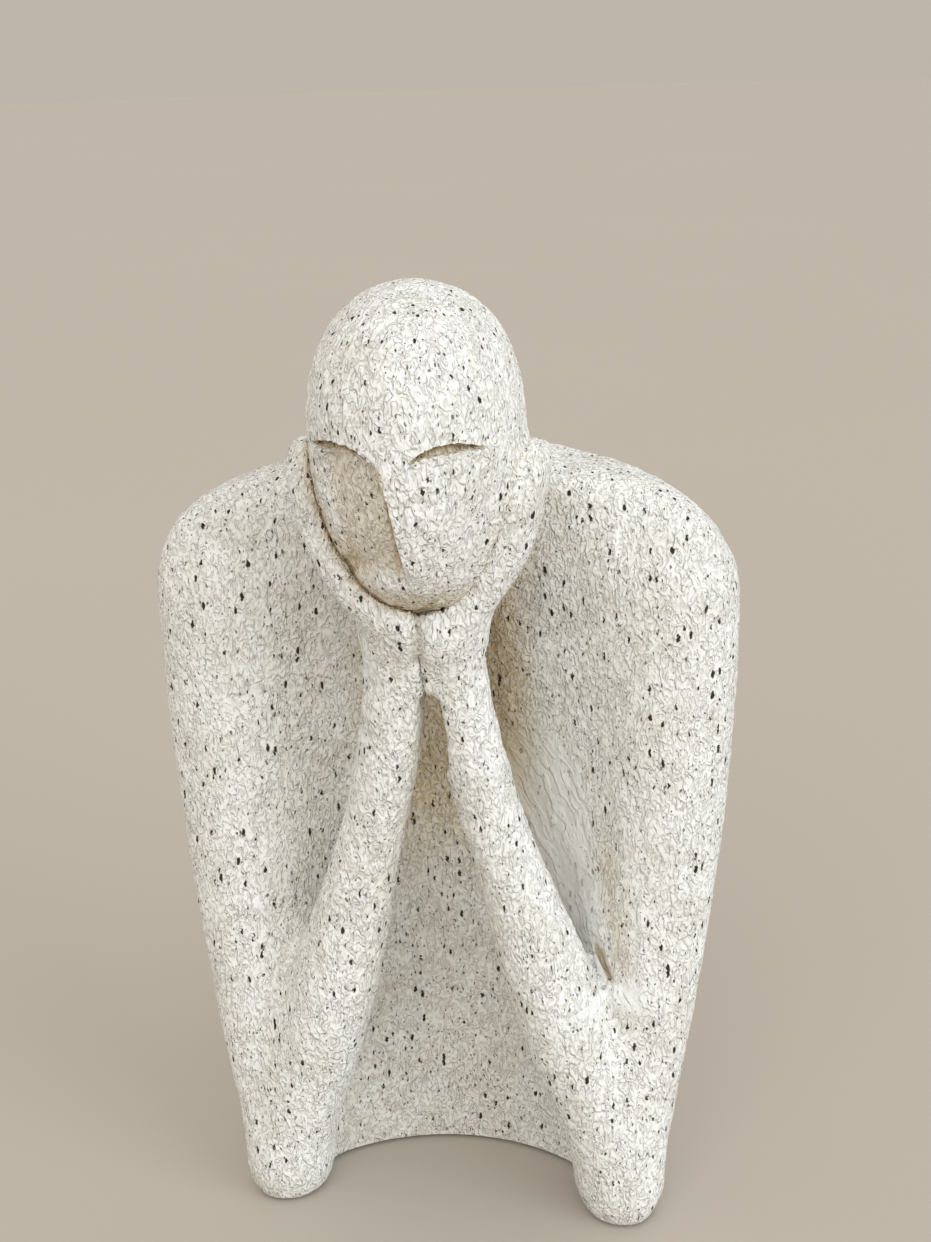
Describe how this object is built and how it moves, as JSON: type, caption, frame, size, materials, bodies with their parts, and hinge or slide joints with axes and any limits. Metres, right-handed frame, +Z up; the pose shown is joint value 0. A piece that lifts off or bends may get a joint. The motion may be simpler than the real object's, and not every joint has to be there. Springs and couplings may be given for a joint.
{
  "type": "resin figurine",
  "caption": "Thinker figurine cast in textured resin: an open-fronted cloaked body standing on its elbows, with the head held in the hands.",
  "frame": {"origin": "on the surface that the figurine stands on, below the middle of its box", "axes": "+Z up, the face looks towards -Y, +X is the figure's left"},
  "size_m": [0.1248, 0.08, 0.2112],
  "materials": {
    "textured_resin": "matt cream-white stone-look coat, wrinkled, with small dark pits",
    "steel_wire": "plain wire",
    "felt": "thin off-white felt"
  },
  "bodies": {
    "root": {"body_casting": "textured_resin", "head_casting": "textured_resin", "right_forearm_casting": "textured_resin", "left_forearm_casting": "textured_resin", "neck_dowel": "steel_wire", "right_elbow_dowel": "steel_wire", "left_elbow_dowel": "steel_wire", "right_elbow_pad": "felt", "left_elbow_pad": "felt", "right_back_pad": "felt", "left_back_pad": "felt"}
  },
  "joints": []
}
